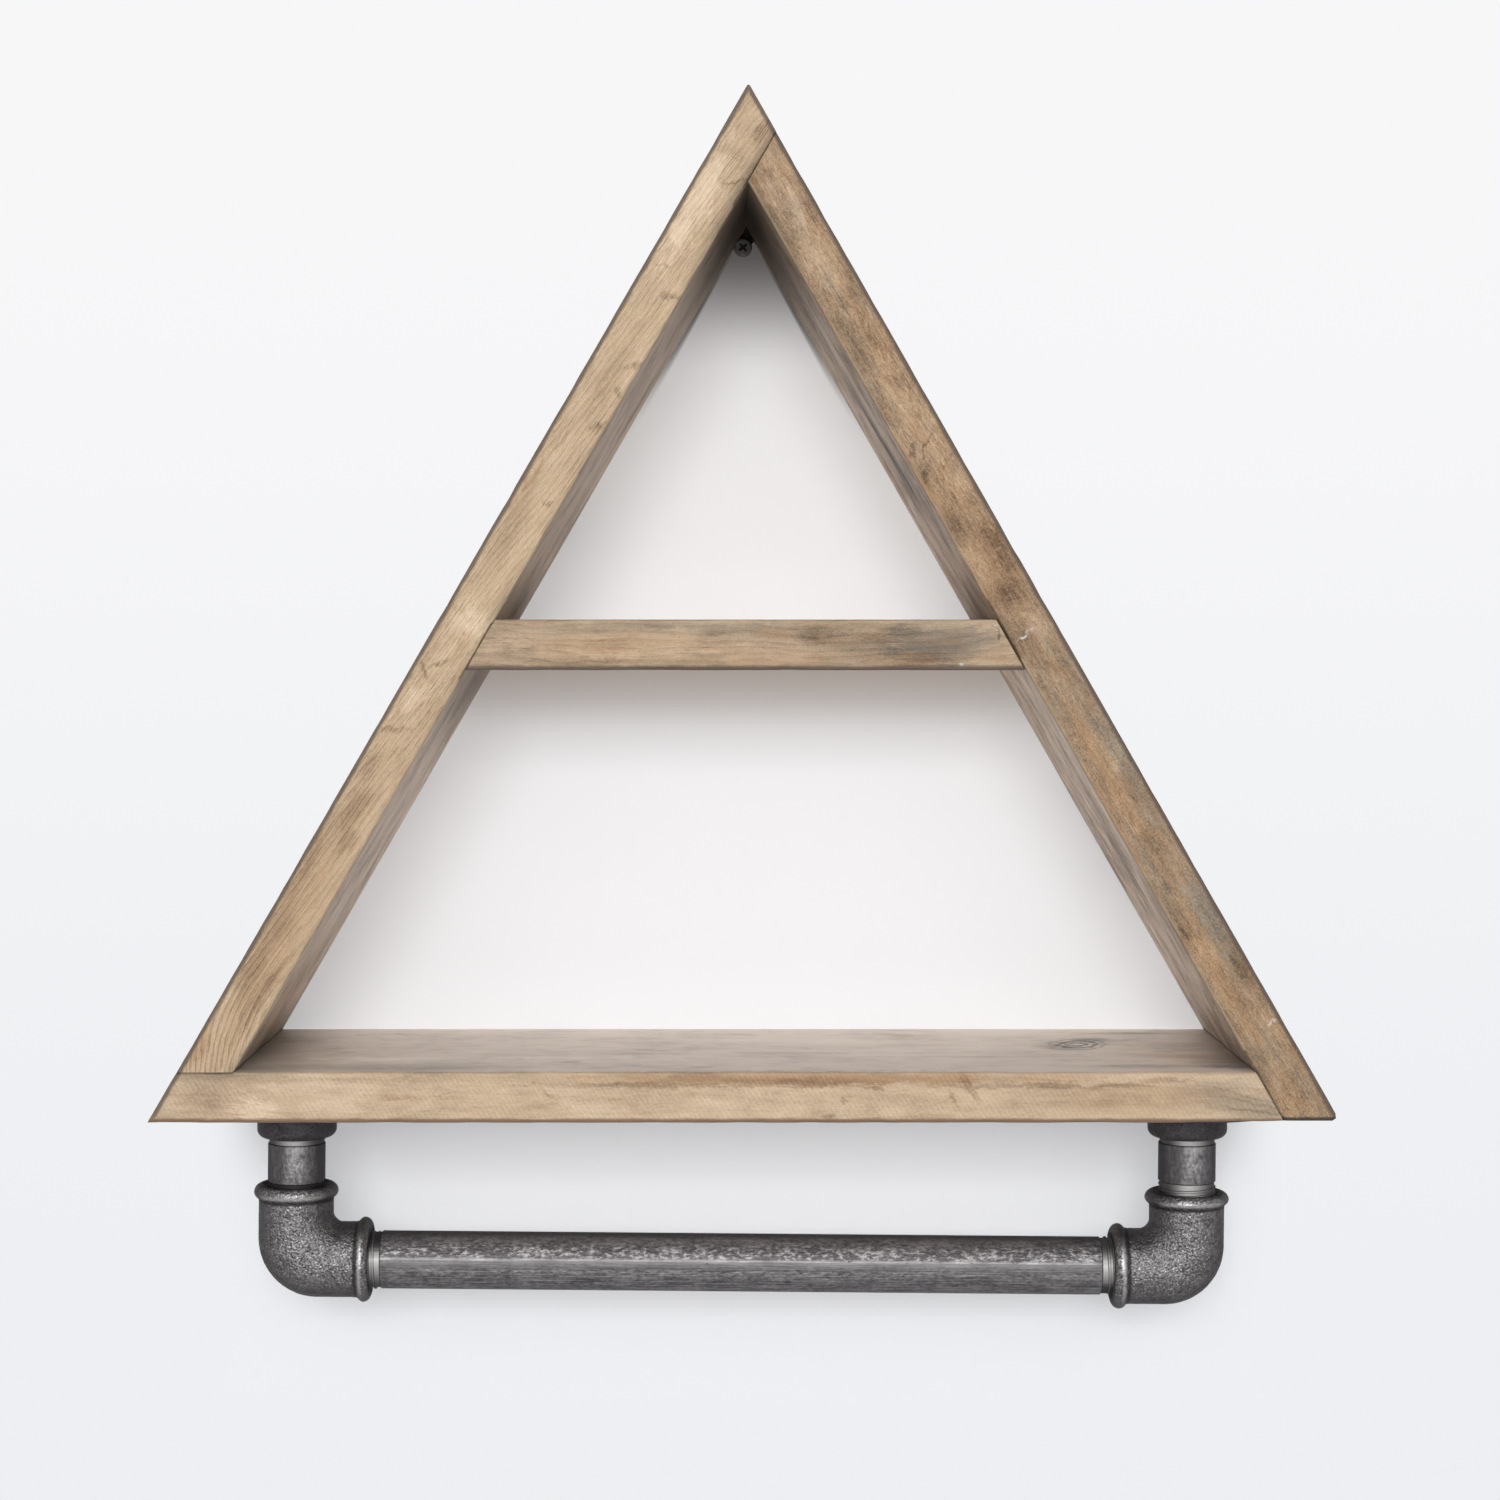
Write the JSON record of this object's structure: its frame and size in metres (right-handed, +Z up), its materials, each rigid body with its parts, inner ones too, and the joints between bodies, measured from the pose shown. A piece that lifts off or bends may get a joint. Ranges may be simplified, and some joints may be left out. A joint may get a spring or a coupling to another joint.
{
  "type": "wall shelf",
  "caption": "Triangular wall shelf of nailed boards with a middle shelf, and a black pipe towel rail on floor flanges below, hung from a wall screw.",
  "frame": {"origin": "on the axis of the wall screw, in the plane of the wall, where the backs of the boards rest", "axes": "+X to the right as seen from the room, +Y into the wall along the screw, +Z up"},
  "size_m": [0.4236, 0.142, 0.4477],
  "materials": {
    "tan_board": "light tan sawn softwood, fine long grain, waxed, matt",
    "orange_board": "orange-brown softwood with grey mottling and wavy figure, matt",
    "sawn_board": "tan softwood with fine slanting saw marks, matt",
    "grey_board": "grey-brown stained softwood with level streaks, matt",
    "dark_pipe": "black steel pipe, dark mill scale worn to grey in spots",
    "grey_casting": "pebbled casting, worn brighter on the beads",
    "black_casting": "nearly black casting",
    "black_steel": "blackened steel",
    "bright_steel": "plain bright steel",
    "screw_steel": "zinc plated steel"
  },
  "bodies": {
    "root": {"left_board": "tan_board", "right_board": "orange_board", "bottom_board": "sawn_board", "middle_shelf": "grey_board", "apex_nails": "bright_steel", "left_corner_nails": "bright_steel", "right_corner_nails": "bright_steel", "shelf_left_nails": "bright_steel", "shelf_right_nails": "bright_steel", "sawtooth_hanger": "black_steel", "hanger_nails": "bright_steel", "wall_screw": "screw_steel", "left_flange": "black_casting", "right_flange": "black_casting", "left_flange_screws": "black_steel", "right_flange_screws": "black_steel", "left_nipple": "dark_pipe", "right_nipple": "dark_pipe", "left_elbow": "grey_casting", "right_elbow": "grey_casting", "rail_pipe": "dark_pipe"}
  },
  "joints": []
}
